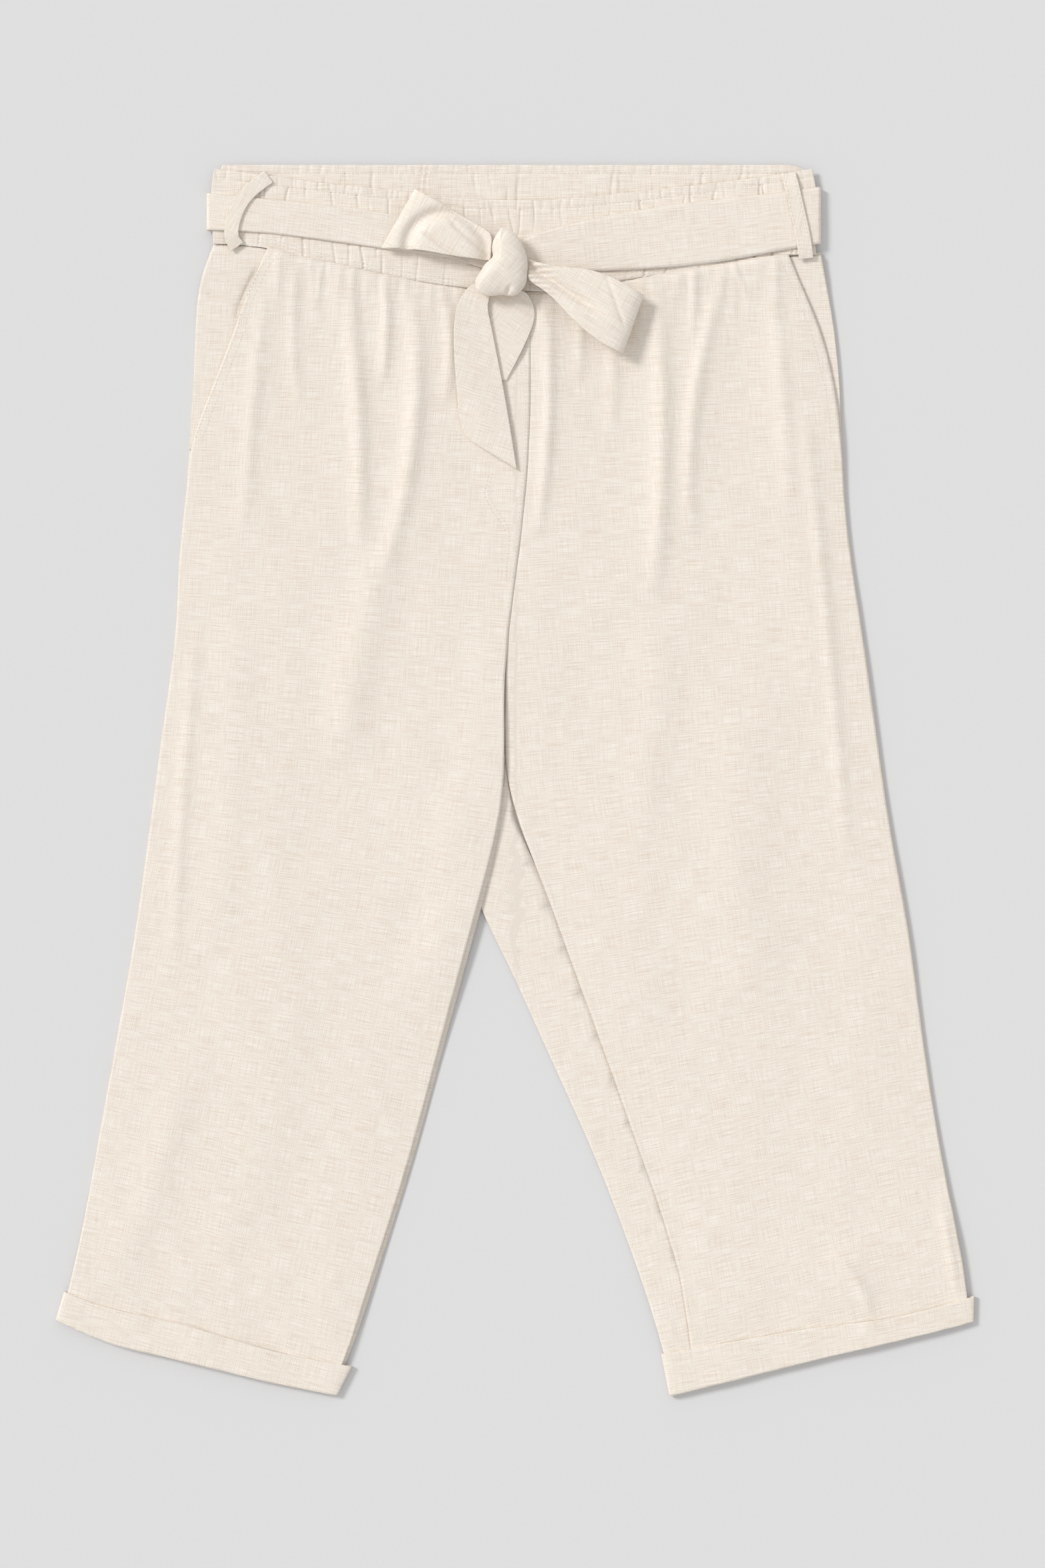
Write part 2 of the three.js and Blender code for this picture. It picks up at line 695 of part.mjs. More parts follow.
// Edges of the tails from the knot to the tip, with their height over the front panel.
const TAIL_LONG = table("x1 y1 x2 y2 over", [
  [-32, 357, -16, 354, 4.4],
  [-41, 346, -21.5, 342, 4.2],
  [-45, 330, -18, 329, 3.4],
  [-44.5, 305, -13, 303, 2.8],
  [-42, 276, -7, 273, 2.2],
  [-40, 248.5, 0.8, 223.5, 0.6],
]);
const TAIL_SHORT = table("x1 y1 x2 y2 over", [
  [-15, 355, 8, 352, 1.2],
  [-14.5, 344, 14.5, 339, 0.9],
  [-13.5, 330, 13, 328, 0.6],
  [-12, 312, 5.5, 311, 0.6],
  [-10.5, 288, -7, 287.5, 0.6],
]);

function tail(name, rows) {
  const top = (x, y) => {
    const leg = x < 9 ? "left" : "right";
    return Math.max(frontUnder(x, y, leg), y > 340 ? WAISTBAND_UNDER + 0.6 : 0) + CLOTH;
  };
  const across = 3;
  const grid = rows.map((row) => {
    const line = [];
    for (let j = 0; j <= across; j++) {
      const x = row.x1 + ((row.x2 - row.x1) * j) / across;
      const y = row.y1 + ((row.y2 - row.y1) * j) / across;
      line.push(new THREE.Vector3(x, y, top(x, y) + row.over + SASH / 2));
    }
    return line;
  });
  piece(name, wall(grid, SASH));
}

// ---------------------------------------------------------------- belt loops
// Middle line of each loop from the waistband's top edge to the waist seam, with its height over the waistband.
const LOOP_WIDTH = 10.5;
const OVER_SASH = SASH + GAP + 0.6;
const LOOP_LEFT = table("x y over", [
  [-177.5, 434, 0.2],
  [-183, 430, 1.0],
  [-190, 424.5, OVER_SASH],
  [-198, 415.5, OVER_SASH],
  [-204, 401, OVER_SASH],
  [-204.5, 391, OVER_SASH],
  [-203, 387.5, 1.4],
  [-200, 383.5, 0.5],
]);
const LOOP_RIGHT = table("x y over", [
  [196, 436, 0.2],
  [197, 431, 1.2],
  [198.5, 426, OVER_SASH],
  [201, 414, OVER_SASH],
  [206, 393, OVER_SASH],
  [208, 379.5, OVER_SASH],
  [208.5, 375, 0.9],
]);

function beltLoop(name, rows) {
  const base = WAISTBAND_UNDER + CLOTH + 1 + CLOTH / 2;
  const middle = through(rows.map((row) => point(row.x, row.y)));
  const stations = rows.map((row, i) => {
    const tangent = middle.getTangent(i / (rows.length - 1));
    const [dx, dy] = [(tangent.y * LOOP_WIDTH) / 2, (-tangent.x * LOOP_WIDTH) / 2];
    return { x1: row.x + dx, y1: row.y + dy, x2: row.x - dx, y2: row.y - dy, z: base + row.over };
  });
  const grid = stations.map((s) =>
    [0, 0.5, 1].map((v) => new THREE.Vector3(s.x1 + (s.x2 - s.x1) * v, s.y1 + (s.y2 - s.y1) * v, s.z)),
  );
  piece(name, wall(grid, CLOTH));
}

frontPanels();
sideFront("left");
sideFront("right");
backLeft();
backRight();
waistbands();
cuff("cuff_left", CUFF_LEFT);
cuff("cuff_right", CUFF_RIGHT);
sashStretch("sash_left", SASH_LEFT, "left");
sashStretch("sash_right", SASH_RIGHT, "right");
sashBack();
knot();
piece("bow_left", ribbon([...BOW].reverse(), SASH));
piece("bow_right", ribbon(BOW_RIGHT, SASH));
tail("tail_long", TAIL_LONG);
tail("tail_short", TAIL_SHORT);
beltLoop("belt_loop_left", LOOP_LEFT);
beltLoop("belt_loop_right", LOOP_RIGHT);

// The origin lies under the middle of the outline.
const middle = new THREE.Box3().setFromObject(trousers).getCenter(new THREE.Vector3());
trousers.position.set(-middle.x, -middle.y, 0);
const part = new THREE.Group().add(trousers);

export default part;
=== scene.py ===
"""Cropped linen trousers with a tied sash, lying flat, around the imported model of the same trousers."""
import math

import bmesh
import bpy
import numpy as np
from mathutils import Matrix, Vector
from mathutils.bvhtree import BVHTree


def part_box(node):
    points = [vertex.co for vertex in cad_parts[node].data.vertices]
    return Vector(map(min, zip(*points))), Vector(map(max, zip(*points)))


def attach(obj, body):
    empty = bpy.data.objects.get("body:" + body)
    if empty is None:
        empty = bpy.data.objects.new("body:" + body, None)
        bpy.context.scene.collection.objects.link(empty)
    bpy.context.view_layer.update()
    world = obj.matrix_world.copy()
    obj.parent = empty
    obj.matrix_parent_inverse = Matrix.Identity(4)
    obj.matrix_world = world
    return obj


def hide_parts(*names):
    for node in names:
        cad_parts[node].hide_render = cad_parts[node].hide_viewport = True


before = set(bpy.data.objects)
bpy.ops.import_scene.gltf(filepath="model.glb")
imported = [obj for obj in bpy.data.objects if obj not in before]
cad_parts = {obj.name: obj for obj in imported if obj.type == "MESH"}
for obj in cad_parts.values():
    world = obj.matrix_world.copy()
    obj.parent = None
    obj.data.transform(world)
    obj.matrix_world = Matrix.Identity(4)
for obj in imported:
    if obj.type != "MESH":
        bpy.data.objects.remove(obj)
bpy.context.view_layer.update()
MM = 0.001
RANDOM = np.random.default_rng(7)
ORIGIN = (0.45, -0.24)  # mm from the part's origin to the places below, which are in the pattern's own axes

# ---------------------------------------------------------------- pieces: subdivisions, cut in metres
# node: level of subdivision, cut width, cut length, cut area (None for a rectangle), degrees of the weft
PIECES = {
    "front_left": (3, 0.336, 0.825, 0.185, 0),
    "front_right": (3, 0.334, 0.815, 0.184, 0),
    "side_front_left": (3, 0.076, 0.148, 0.0050, 0),
    "side_front_right": (3, 0.055, 0.139, 0.0028, 0),
    "back_left": (2, 0.318, 0.820, 0.187, 0),
    "back_right": (2, 0.400, 0.820, 0.222, 0),
    "waistband_front": (4, 0.500, 0.070, 0.0300, 0),
    "waistband_back": (4, 0.500, 0.063, 0.0300, 0),
    "cuff_left": (3, 0.440, 0.026, None, -15),
    "cuff_right": (3, 0.450, 0.026, None, 10),
    "sash_left": (3, 0.250, 0.028, None, -8),
    "sash_right": (3, 0.260, 0.042, None, 6),
    "sash_back": (2, 0.391, 0.040, None, 0),
    "bow_left": (4, 0.170, 0.032, None, 62),
    "bow_right": (4, 0.175, 0.036, None, -30),
    "tail_long": (4, 0.042, 0.125, 0.0037, -18),
    "tail_short": (4, 0.040, 0.068, 0.0018, -35),
    "belt_loop_left": (3, 0.0105, 0.062, None, 60),
    "belt_loop_right": (3, 0.0105, 0.062, None, 80),
}

# ---------------------------------------------------------------- folds, mm
# Ridges of the front: three points from top to foot, half width and height.
RIDGES = [
    (-180, 358, -189, 270, -196, 175, 5.5, 1.4),
    (-157, 374, -160, 340, -156, 270, 4.0, 1.3),
    (-124, 368, -115, 290, -113, 165, 6.0, 2.6),
    (-94, 362, -93, 325, -96, 285, 4.0, 2.2),
    (-76, 356, -72, 268, -95, 150, 6.5, 2.8),
    (-95, 175, -114, 90, -126, 10, 15.0, 2.2),
    (-52, 350, -48, 320, -52, 270, 4.0, 1.6),
    (-200, 130, -205, 20, -222, -130, 14.0, 1.2),
    (-60, 120, -66, 20, -80, -90, 22.0, 1.0),
    (-150, -60, -170, -200, -200, -340, 26.0, 1.0),
    (21, 350, 24, 280, 15, 175, 4.5, 2.2),
    (43, 352, 46, 330, 44, 285, 4.0, 1.3),
    (68, 356, 70, 320, 68, 250, 5.0, 1.4),
    (101, 362, 105, 280, 99, 130, 6.5, 2.6),
    (127, 366, 128, 350, 126, 318, 3.0, 1.4),
    (152, 370, 136, 316, 127, 175, 5.5, 2.3),
    (182, 374, 190, 300, 196, 190, 6.0, 1.3),
    (207, 270, 216, 190, 238, -60, 5.0, 1.5),
    (108, 120, 96, 20, 84, -60, 16.0, 1.3),
    (165, 90, 160, -40, 176, -170, 24.0, 1.2),
    (222, -335, 240, -352, 254, -384, 5.0, 1.7),
    (306, -300, 312, -335, 318, -372, 3.5, 1.3),
    (20, -160, 38, -170, 48, -182, 2.2, 1.0),
    (-230, 110, -238, 10, -246, -130, 5.0, 1.2),
    (-140, 372, -141, 360, -142, 344, 2.2, 1.1),
    (157, 371, 161, 361, 165, 350, 2.0, 1.2),
    (-236, -190, -252, -260, -282, -350, 14.0, 1.4),
    (137, -386, 133, -390, 128, -394, 1.8, 0.8),
    (131, -398, 129, -401, 127, -405, 1.6, 0.7),
]
# Puckers of the strip that wraps round the right leg, above its turn-up.
STRIP_RIDGES = [
    (112, -388, 111, -398, 107, -411, 2.0, 1.1),
    (121, -402, 117, -406, 112, -411, 1.6, 0.8),
]
LEFT_CENTRE = [(-440, -230), (0, -140), (380, -112)]  # y and x of the middle of the left leg's grain
RIGHT_CENTRE = [(-440, 222), (0, 140), (380, 112)]
WEFT_SLOPE = 0.24  # how far the weft leans at the hems


def local(co):
    """Pattern x, y and height in mm of points in metres."""
    return co[:, 0] / MM - ORIGIN[0], co[:, 1] / MM - ORIGIN[1], co[:, 2] / MM


def ridge(x, y, x1, y1, x2, y2, x3, y3, width, height):
    """A soft ridge through three points that fades out at both ends."""
    share = np.clip((y - y1) / (y3 - y1), 0, 1)
    middle = (y2 - y1) / (y3 - y1)
    bend = (x2 - x1 - (x3 - x1) * middle) / (middle * (middle - 1))
    across = (x - (x1 + (x3 - x1) * share + bend * share * (share - 1))) / width
    fade = np.sin(np.pi * share) ** 0.55
    return height * np.exp(-across * across) * np.where((y < y1) & (y > y3), fade, 0)


def step(t):
    """A smooth rise from 0 to 1 as t goes from 0 to 1."""
    t = np.clip(t, 0, 1)
    return t * t * (3 - 2 * t)


def gather_rows(count, low, high):
    """Uneven places across the waist, each with a size, a lean and a phase along its length."""
    xs = np.linspace(low, high, count) + RANDOM.uniform(-3.4, 3.4, count)
    sizes, leans = RANDOM.uniform(0.25, 1.0, count), RANDOM.uniform(-0.16, 0.16, count)
    return list(zip(xs, sizes, leans, RANDOM.uniform(0, 6.28, count)))


FRONT_GATHERS = gather_rows(40, -208, 206)
BACK_GATHERS = gather_rows(38, -204, 202)
HEADING = gather_rows(120, -214, 210)
PLEATS = gather_rows(58, -172, 190)


# x and y of the front waistband's lower seam and of its top edge.
WAIST_SEAM = [
    (-220, 386), (-177, 385), (-138, 374), (-94, 364), (-41, 355), (9, 352), (78, 360), (136, 370), (218, 379),
]
WAIST_TOP = [
    (-220, 440), (-165, 433), (-94, 425), (-41, 418), (9, 417), (40, 418), (78, 422), (136, 429), (218, 441),
]
BACK_TOP = 443.0  # y of the back waistband's top edge
HEADING_DEPTH = 6.2  # from the top edge down to the stitching of the heading


def waist_seam(x):
    """y of the seam between the waistband and the front panels."""
    return np.interp(x, *zip(*WAIST_SEAM))


def waist_top(x):
    """y of the front waistband's top edge."""
    return np.interp(x, *zip(*WAIST_TOP))


def trough(x, y, gathers, base, width, depth):
    """Thin creases at the gathers, which fade in and out along their length."""
    total = np.zeros_like(x)
    for place, size, lean, phase in gathers:
        waver = 0.7 * np.sin(y / 6 + phase)
        across = (x - place - lean * (y - base) - waver) / (width * (0.7 + size))
        total -= depth * size * np.exp(-across * across) * step(0.8 + 0.75 * np.sin(y / 10 + phase))
    return total


def front_relief(x, y):
    """Folds, gathers and faint handling marks of the front panels."""
    total = sum(ridge(x, y, *row) for row in RIDGES)
    below = waist_seam(x) - y
    for place, size, lean, _ in PLEATS:
        reach = 14 + 52 * size * size
        across = (x - place - lean * below * 0.6) / (1.5 + 1.8 * size)
        total += 1.15 * size * np.exp(-across * across) * step(1 - below / reach) * step(below / 2.5)
    total += 0.35 * np.sin(x / 17 + y / 61) * np.sin(y / 43 - x / 90)
    total += 0.16 * np.sin(x / 7.3 + 1.7 * np.sin(y / 38)) * np.sin(y / 19 + x / 33)
    return total


def waistband_relief(x, y, top, gathers):
    """Gathers below the heading's stitching and a fine ruffle above it."""
    heading = step((y - top + 7.2) / 1.6)
    body = trough(x, y, gathers, 400, 0.5, 1.25) * (1 - 0.7 * heading)
    ruffle = trough(x, y, HEADING, 430, 0.7, 0.5) * heading
    stitch = -0.4 * np.exp(-(((y - top + HEADING_DEPTH) / 0.7) ** 2))
    return body + ruffle + stitch + 0.4 + 0.22 * np.sin(x / 8) * np.sin(y / 14 + x / 40)


def relief(name, x, y, z):
    """How far a piece's surface rises above its solid, in mm."""
    if name in ("front_left", "front_right"):
        return front_relief(x, y)
    if name == "waistband_front":
        return waistband_relief(x, y, waist_top(x), FRONT_GATHERS)
    if name == "waistband_back":
        return np.where(y > 400, waistband_relief(x, y, BACK_TOP, BACK_GATHERS), 0)
    if name.startswith("bow"):
        return bow_relief(name, x, y, z)
    if name.startswith("tail"):
        return 0.7 * np.sin(x / 9 + y / 16) * step((352 - y) / 20)
    if name in ("sash_left", "sash_right"):
        return np.where(z > 5, 0.25 * np.sin(x / 21) * np.sin(y / 9 + x / 50), 0)
    if name == "back_right":
        wrapped = step((z - 1.7) / 0.4) * step((-110 - y) / 30)
        return wrapped * sum(ridge(x, y, *row) for row in STRIP_RIDGES)
    if name.startswith("cuff"):
        return np.where(z > 3.5, 0.3 * np.sin(x / 19) + 0.2 * np.sin(x / 7.7), 0)
    return np.zeros_like(x)


# y and x of the seams, and of the left pocket's mouth.
CENTRE_FRONT = [(82, -7.7), (123, -4), (156, 1), (190, 4.5), (240, 9), (318, 10), (352, 9)]
INSEAM_RIGHT = [
    (-436, 129.5), (-380, 123.5), (-332, 112.5), (-258, 87), (-193, 64), (-133, 42), (-61, 15.5), (-20, 0),
]
POCKET_MOUTH = [(325, -201.5), (341, -198.5), (368, -186), (380, -176)]
HIDDEN_WIDTH = 10.0  # how far the short tail runs under the long one


def close_seams(name, co, x, y):
    """Edges reach over their seam allowance, so that the seam shows as a line and not as a gap."""
    if name == "waistband_front":
        near = np.exp(-np.abs(y - waist_seam(x)) / 1.3)
        co[:, 1] -= 1.3 * MM * near
        co[:, 2] -= 0.3 * MM * near
    if name == "front_left":
        near = np.exp(-np.abs(x - np.interp(y, *zip(*CENTRE_FRONT))) / 1.5) * step((y - 70) / 30)
        co[:, 0] += 0.9 * MM * near
        co[:, 2] += 0.3 * MM * near
    if name == "front_right":
        near = np.exp(-np.abs(x - np.interp(y, *zip(*INSEAM_RIGHT))) / 1.5) * step((-20 - y) / 20)
        co[:, 0] -= 1.4 * MM * near
        co[:, 2] += 0.7 * MM * near
    if name == "tail_short":
        co[:, 0] -= HIDDEN_WIDTH * MM * step((-3 - x) / 9) * step((y - 288) / 40)
    if name in ("front_left", "side_front_left"):
        edge = np.interp(y, *zip(*POCKET_MOUTH))
        near = np.exp(-np.abs(x - edge) / 1.8) * step((y - 328) / 12) * step((374 - y) / 12)
        upper = name == "front_left"
        co[:, 0] += (1.1 if upper else -1.3) * MM * near
        co[:, 2] += (0.6 if upper else -2.0) * MM * near
    if name == "bow_left":
        co[:, 0] += 5.5 * MM * step((x + 46) / 24)
        co[:, 1] -= 2.0 * MM * step((x + 46) / 24)


HOLLOW_CENTRE, HOLLOW_RADIUS = (-52, 380.5), 26.5  # the arc of the dip behind the left loop's rolled end


def bow_relief(name, x, y, z):
    """The upper layers dip behind their rolled ends and pucker towards the knot."""
    upper = step((z - 12.3) / 2.5)
    if name == "bow_left":
        away = np.hypot(x - HOLLOW_CENTRE[0], y - HOLLOW_CENTRE[1]) - HOLLOW_RADIUS
        hollow = -4.2 * np.exp(-((away / 4.2) ** 2))
        puff = 1.6 * step(-away / 12)
        crease = np.exp(-(((y - 391.5 + (x + 64.7) * 0.69) / 1.9) ** 2)) * -2.2 * step((x + 70) / 8)
        fold = np.exp(-(((y - 399.9 + (x + 46.4)) / 2.6) ** 2)) * -1.8 * step((x + 50) / 8)
        return upper * (hollow + puff + crease + fold)
    valley = np.exp(-(((y - 362 + (x - 20) * 0.67) / 3.6) ** 2)) * -4.4 * step((68 - x) / 24)
    diagonal = np.exp(-(((x - 69 + (y - 349.2) * 0.356) / 1.4) ** 2)) * -0.9 * step((y - 322) / 8)
    pleat = 0.7 * np.sin((y - 360) * 1.6) * step((36 - x) / 26)
    return upper * (valley + diagonal + pleat)


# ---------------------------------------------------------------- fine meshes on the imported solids
RIM_ANGLE = math.radians(66)


def fine_shell(name, level):
    """A smooth, finely divided copy of a node's solid, with its rims kept in place."""
    mesh = bpy.data.meshes.new(name + "_cloth")
    bm = bmesh.new()
    bm.from_mesh(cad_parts[name].data)
    bmesh.ops.remove_doubles(bm, verts=bm.verts, dist=2e-6)
    bmesh.ops.join_triangles(bm, faces=bm.faces, angle_face_threshold=0.6, angle_shape_threshold=1.2)
    crease = bm.edges.layers.float.new("crease_edge")
    for edge in bm.edges:
        if len(edge.link_faces) == 2 and edge.calc_face_angle() > RIM_ANGLE:
            edge[crease] = 1.0
    bm.to_mesh(mesh)
    bm.free()
    piece = bpy.data.objects.new(name + "_cloth", mesh)
    bpy.context.scene.collection.objects.link(piece)
    surface = piece.modifiers.new("fine", "SUBSURF")
    surface.levels = surface.render_levels = level
    bpy.context.view_layer.update()
    done = bpy.data.meshes.new_from_object(piece.evaluated_get(bpy.context.evaluated_depsgraph_get()))
    piece.modifiers.clear()
    piece.data = done
    return piece


def points_of(mesh):
    """A mesh's vertices as an array, in metres."""
    co = np.empty(len(mesh.vertices) * 3, np.float32)
    mesh.vertices.foreach_get("co", co)
    return co.reshape(-1, 3).astype(float)


def shape(piece, name):
    """Presses the folds into a fine shell and smooths its shading."""
    co = points_of(piece.data)
    x, y, z = local(co)
    co[:, 2] += relief(name, x, y, z) * MM
    close_seams(name, co, x, y)
    co[:, 2] = np.maximum(co[:, 2], 0)
    piece.data.vertices.foreach_set("co", co.astype(np.float32).ravel())
    piece.data.polygons.foreach_set("use_smooth", [True] * len(piece.data.polygons))
    piece.data.update()


def lay_grain(piece, degrees):
    """UVs in metres: U along the weft and V along the warp, leaning with each leg."""
    mesh = piece.data
    x, y, _ = local(points_of(mesh))
    if degrees:
        turn = math.radians(degrees)
        u, v = x * math.cos(turn) + y * math.sin(turn), y * math.cos(turn) - x * math.sin(turn)
    else:
        left = x < 0
        rows = np.where(left, np.interp(y, *zip(*LEFT_CENTRE)), np.interp(y, *zip(*RIGHT_CENTRE)))
        lean = WEFT_SLOPE * step((380 - y) / 800) * np.where(left, 1, -1)
        u, v = x - rows + np.where(left, 0, 900), y + lean * (x - rows)
    loops = np.empty(len(mesh.loops), np.int32)
    mesh.loops.foreach_get("vertex_index", loops)
    layer = mesh.uv_layers.new(name="grain")
    layer.uv.foreach_set("vector", (np.stack([u, v], 1)[loops] * MM).astype(np.float32).ravel())


# ---------------------------------------------------------------- linen
def linen(name, tint=1.0):
    """Ecru linen: slubs along both threads, tan flecks and a fine weave."""
    material = bpy.data.materials.new(name)
    material.use_nodes = True
    tree = material.node_tree
    shader = tree.nodes["Principled BSDF"]
    shader.inputs["Roughness"].default_value = 0.86
    shader.inputs["Specular IOR Level"].default_value = 0.25
    shader.inputs["Sheen Weight"].default_value = 0.12
    shader.inputs["Sheen Roughness"].default_value = 0.5
    uv = tree.nodes.new("ShaderNodeUVMap")
    uv.uv_map = "grain"

    def threads(scale, detail, low, high):
        mapping = tree.nodes.new("ShaderNodeMapping")
        mapping.inputs["Scale"].default_value = scale
        tree.links.new(uv.outputs["UV"], mapping.inputs["Vector"])
        noise = tree.nodes.new("ShaderNodeTexNoise")
        noise.inputs["Scale"].default_value = 1.0
        noise.inputs["Detail"].default_value = detail
        tree.links.new(mapping.outputs["Vector"], noise.inputs["Vector"])
        span = tree.nodes.new("ShaderNodeMapRange")
        span.inputs["From Min"].default_value = low
        span.inputs["From Max"].default_value = high
        tree.links.new(noise.outputs["Fac"], span.inputs["Value"])
        return span.outputs["Result"]

    def over(below, factor, share, colour):
        amount = tree.nodes.new("ShaderNodeMath")
        amount.operation = "MULTIPLY"
        amount.inputs[1].default_value = share
        tree.links.new(factor, amount.inputs[0])
        mix = tree.nodes.new("ShaderNodeMix")
        mix.data_type = "RGBA"
        tree.links.new(amount.outputs[0], mix.inputs["Factor"])
        if below is None:
            mix.inputs["A"].default_value = (0.89 * tint, 0.825 * tint, 0.745 * tint, 1)
        else:
            tree.links.new(below, mix.inputs["A"])
        mix.inputs["B"].default_value = (*colour, 1)
        return mix.outputs["Result"]

    weft = threads((55, 1500, 1), 3, 0.42, 0.68)
    warp = threads((1500, 55, 1), 3, 0.42, 0.68)
    flecks = threads((190, 2400, 1), 2, 0.68, 0.78)
    colour = over(None, weft, 0.56, (0.69, 0.58, 0.47))
    colour = over(colour, warp, 0.42, (0.71, 0.61, 0.51))
    colour = over(colour, flecks, 0.75, (0.42, 0.31, 0.2))
    tree.links.new(colour, shader.inputs["Base Color"])
    weave = tree.nodes.new("ShaderNodeMath")
    weave.operation = "ADD"
    tree.links.new(weft, weave.inputs[0])
    tree.links.new(warp, weave.inputs[1])
    bump = tree.nodes.new("ShaderNodeBump")
    bump.inputs["Strength"].default_value = 0.35
    bump.inputs["Distance"].default_value = 0.0003
    tree.links.new(weave.outputs[0], bump.inputs["Height"])
    tree.links.new(bump.outputs["Normal"], shader.inputs["Normal"])
    return material


LINEN = linen("linen")


def finish_cloth(piece, name, degrees):
    """Shapes a piece, lays its grain and puts it in place of its node."""
    shape(piece, name)
    lay_grain(piece, degrees)
    piece.data.materials.clear()
    piece.data.materials.append(LINEN)
    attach(piece, "root")
    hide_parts(name)


cloth = {}
for node, (level, width, length, area, degrees) in PIECES.items():
    cloth[node] = fine_shell(node, level)
    finish_cloth(cloth[node], node, degrees)

# The knot: one tight turn of the sash, drawn out at its foot and notched where the tails leave it.
knot = fine_shell("knot", 3)
middle = sum(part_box("knot"), Vector()) / 2
places = points_of(knot.data)
across, up = places[:, 0] - middle.x, places[:, 1] - middle.y
across, up = across / MM, up / MM
foot_left = step((-up - 3) / 9) * step((-across - 1) / 7)
foot_right = step((-up - 6) / 10) * step(across / 8)
head_left = step((up + 4) / 9) * step((-across - 1) / 7)
places[:, 0] += (4.2 * head_left - 3.6 * foot_left + 1.5 * foot_right) * MM
places[:, 1] -= (1.8 * foot_left + 1.6 * foot_right) * MM
notch = np.exp(-(((across - 3 - 0.3 * (up + 20)) / 1.2) ** 2)) * step((-up - 15) / 5)
fold = np.exp(-(((across + 9 - 0.45 * up) / 1.6) ** 2)) * step((places[:, 2] - middle.z) / (4 * MM))
places[:, 2] -= (1.6 * notch + 0.45 * fold) * MM
knot.data.vertices.foreach_set("co", places.astype(np.float32).ravel())
finish_cloth(knot, "knot", 50)

# ---------------------------------------------------------------- stitches
TREES = {n: BVHTree.FromObject(cloth[n], bpy.context.evaluated_depsgraph_get()) for n in cloth}
ABOVE = 0.06  # metres, higher than all the cloth
THREAD = linen("thread", 0.8)
STITCH, PITCH, THICK = 2.2, 3.1, 0.32  # length, spacing and thickness, mm


def sew(name, nodes, line):
    """A row of stitches along points in mm, each lying on the cloth below it."""
    spots = np.array(line, float)
    length = np.concatenate([[0], np.cumsum(np.linalg.norm(np.diff(spots, axis=0), axis=1))])
    bm = bmesh.new()
    for start in np.arange(1, length[-1] - STITCH, PITCH):
        ends = []
        for at in (start, start + STITCH):
            x, y = (np.interp(at, length, spots[:, k]) + ORIGIN[k] for k in (0, 1))
            start_at = Vector((x * MM, y * MM, ABOVE))
            hits = [TREES[n].ray_cast(start_at, Vector((0, 0, -1)))[0] for n in nodes]
            hits = [hit for hit in hits if hit]
            if hits:
                ends.append(max(hits, key=lambda hit: hit.z))
        if len(ends) < 2:
            continue
        a, b = ends
        side = (b - a).cross(Vector((0, 0, 1))).normalized() * THICK * MM
        rings = []
        for share, width, lift in ((0, 0.5, 0.0), (0.3, 1, 0.14), (0.7, 1, 0.14), (1, 0.5, 0.0)):
            centre = a.lerp(b, share) + Vector((0, 0, lift * MM))
            drop = Vector((0, 0, -THICK * MM))
            spread = [centre + side * width * k + drop * (abs(k) * 0.5) for k in (-1, 0, 1)]
            rings.append([bm.verts.new(place) for place in spread])
            rings[-1].append(bm.verts.new(centre + drop))
        for low, high in zip(rings, rings[1:]):
            for k in range(4):
                bm.faces.new((low[k], low[(k + 1) % 4], high[(k + 1) % 4], high[k]))
        bm.faces.new(rings[0][::-1])
        bm.faces.new(rings[-1])
    bmesh.ops.recalc_face_normals(bm, faces=bm.faces)
    mesh = bpy.data.meshes.new(name)
    bm.to_mesh(mesh)
    bm.free()
    piece = bpy.data.objects.new(name, mesh)
    bpy.context.scene.collection.objects.link(piece)
    lay_grain(piece, 0)
    mesh.materials.append(THREAD)
    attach(piece, "root")


ACROSS = np.linspace(-212, 208, 60)
FRONTS = ("front_left", "front_right")
sew("stitch_heading_front", ("waistband_front",), [(x, waist_top(x) - HEADING_DEPTH) for x in ACROSS])
sew("stitch_heading_back", ("waistband_back",), [(x, 437.0) for x in ACROSS])
for row, drop in (("a", 1.6), ("b", 4.2)):
    sew(f"stitch_waist_{row}", ("waistband_front",), [(x, waist_seam(x) + drop) for x in ACROSS])
POCKETS = {
    "left": (
        1,
        [(-176, 380), (-186, 368), (-198.5, 341), (-201.5, 325), (-217.5, 285), (-225.5, 265), (-232.5, 246)],
    ),
    "right": (-1, [(197.5, 374), (211.5, 341), (219, 325), (229, 285), (232.2, 265), (234, 246)]),
}
for side, (inward, edge) in POCKETS.items():
    for row, inset in (("a", 1.8), ("b", 7.2)):
        sew(f"stitch_pocket_{side}_{row}", FRONTS, [(x + inward * inset, y) for x, y in edge])
FLY = [(-19, 221), (-23, 206), (-17.5, 195), (-9, 183), (-7, 178)]
sew("stitch_fly_a", FRONTS, FLY)
sew("stitch_fly_b", FRONTS, [(x + 2.6, y + 1.5) for x, y in FLY] + [(-7.5, 145)])
EDGES = {
    "bow_left_head": ("bow_left", [(-50, 410), (-33, 399)]),
    "bow_left_foot": ("bow_left", [(-92, 383.8), (-66, 382), (-44, 376.5)]),
    "loop_right_a": ("belt_loop_right", [(193.6, 432), (196.6, 414), (202, 393), (204.6, 378)]),
    "loop_right_b": ("belt_loop_right", [(200.6, 432), (204.6, 414), (209.6, 393), (211.6, 378)]),
}
for stitch, (node, line) in EDGES.items():
    sew("stitch_" + stitch, (node,), line)
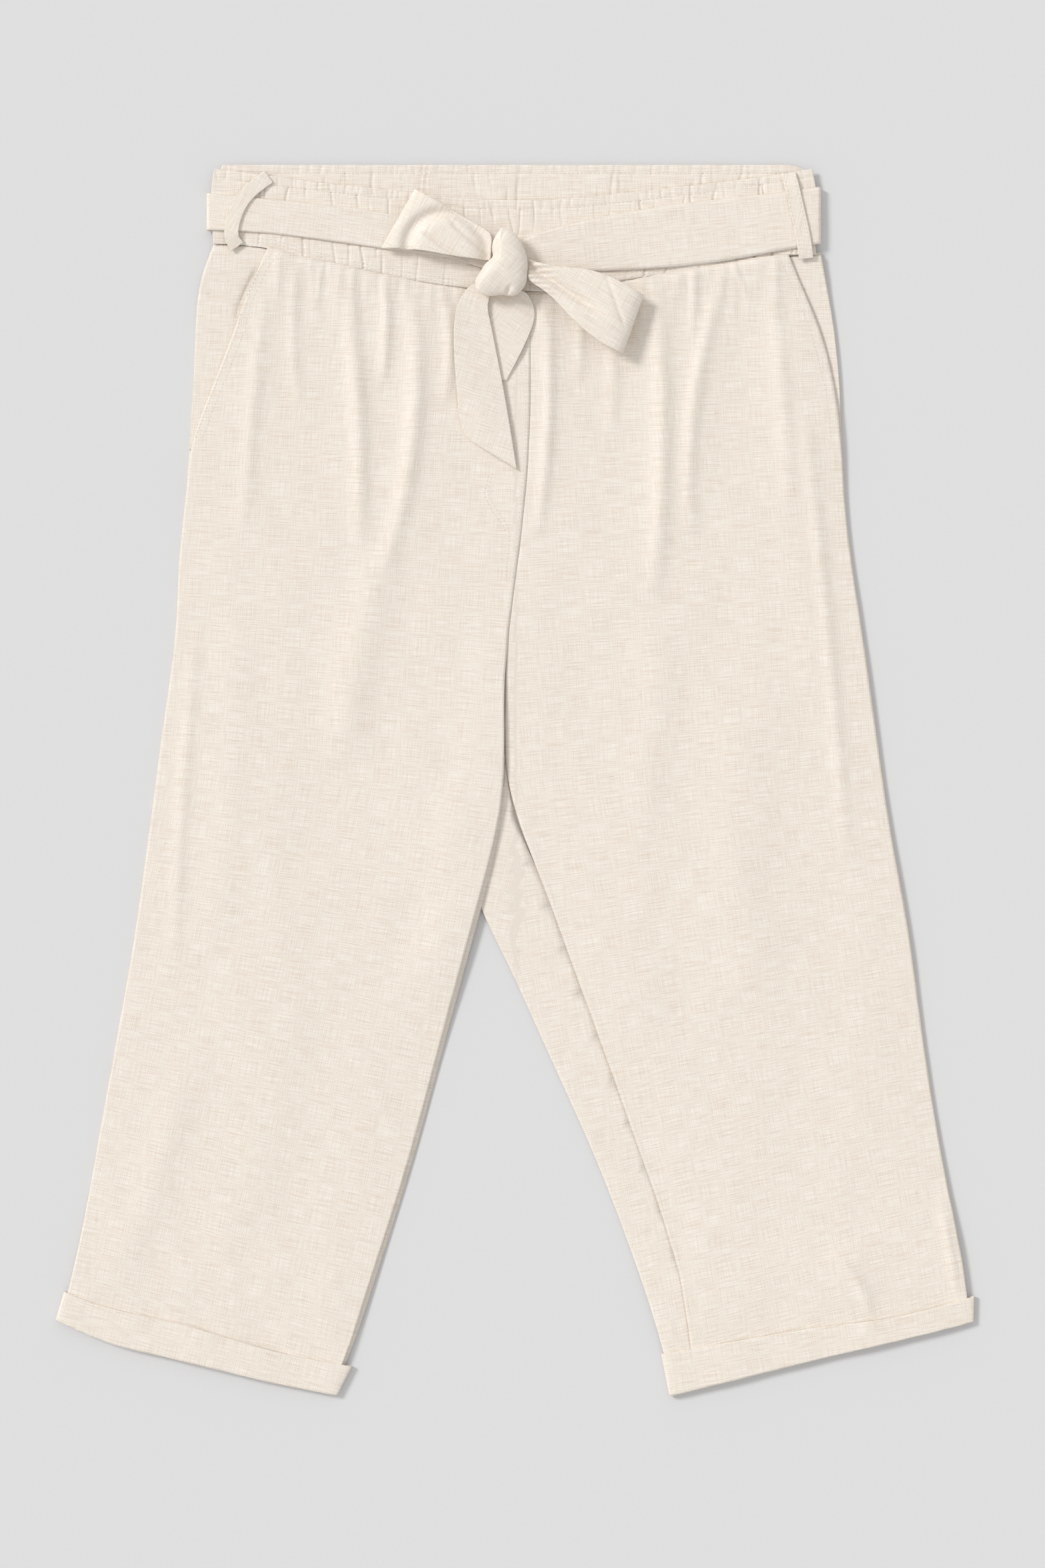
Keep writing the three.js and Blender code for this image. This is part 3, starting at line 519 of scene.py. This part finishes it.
sew("stitch_fly_seam", FRONTS, [(7.4, 300), (6.8, 240), (2.4, 190), (-1.2, 156), (-6, 123)])

# ---------------------------------------------------------------- floor, light and camera
def flat_material(name, colour):
    """A matt material of one colour."""
    material = bpy.data.materials.new(name)
    material.use_nodes = True
    shader = material.node_tree.nodes["Principled BSDF"]
    shader.inputs["Base Color"].default_value = (*colour, 1)
    shader.inputs["Roughness"].default_value = 1.0
    shader.inputs["Specular IOR Level"].default_value = 0.0
    return material


floor = bpy.data.objects.new("floor", bpy.data.meshes.new("floor"))
HALF_FLOOR, FLOOR_DROP = 6, 0.0004  # metres
corners = [(i * HALF_FLOOR, j * HALF_FLOOR, -FLOOR_DROP) for i, j in ((-1, -1), (1, -1), (1, 1), (-1, 1))]
floor.data.from_pydata(corners, [], [(0, 1, 2, 3)])
floor.data.materials.append(flat_material("floor", (0.7, 0.7, 0.7)))
bpy.context.scene.collection.objects.link(floor)

world = bpy.data.worlds.new("studio")
world.use_nodes = True
world.node_tree.nodes["Background"].inputs["Color"].default_value = (1, 1, 1, 1)
world.node_tree.nodes["Background"].inputs["Strength"].default_value = 0.7
bpy.context.scene.world = world


def lamp(name, place, spread, power):
    """A sun that shines from a place towards the origin."""
    light = bpy.data.lights.new(name, "SUN")
    light.angle = math.radians(spread)
    light.energy = power
    lit = bpy.data.objects.new(name, light)
    lit.location = place
    lit.rotation_euler = (-Vector(place)).to_track_quat("-Z", "Y").to_euler()
    bpy.context.scene.collection.objects.link(lit)


lamp("key", (-2.6, 1.5, 2.3), 16, 1.85)

SCALE, ROWS = 0.00048, 2352  # metres of the floor for each row of the picture, and its rows
LENS, SENSOR = 85, 36
camera = bpy.data.cameras.new("camera")
camera.lens = LENS
camera.sensor_width = SENSOR
above = bpy.data.objects.new("camera", camera)
above.location = (0.00525, -0.00255, ROWS * SCALE * LENS / SENSOR)
bpy.context.scene.collection.objects.link(above)
bpy.context.scene.camera = above
bpy.context.scene.view_settings.view_transform = "Standard"
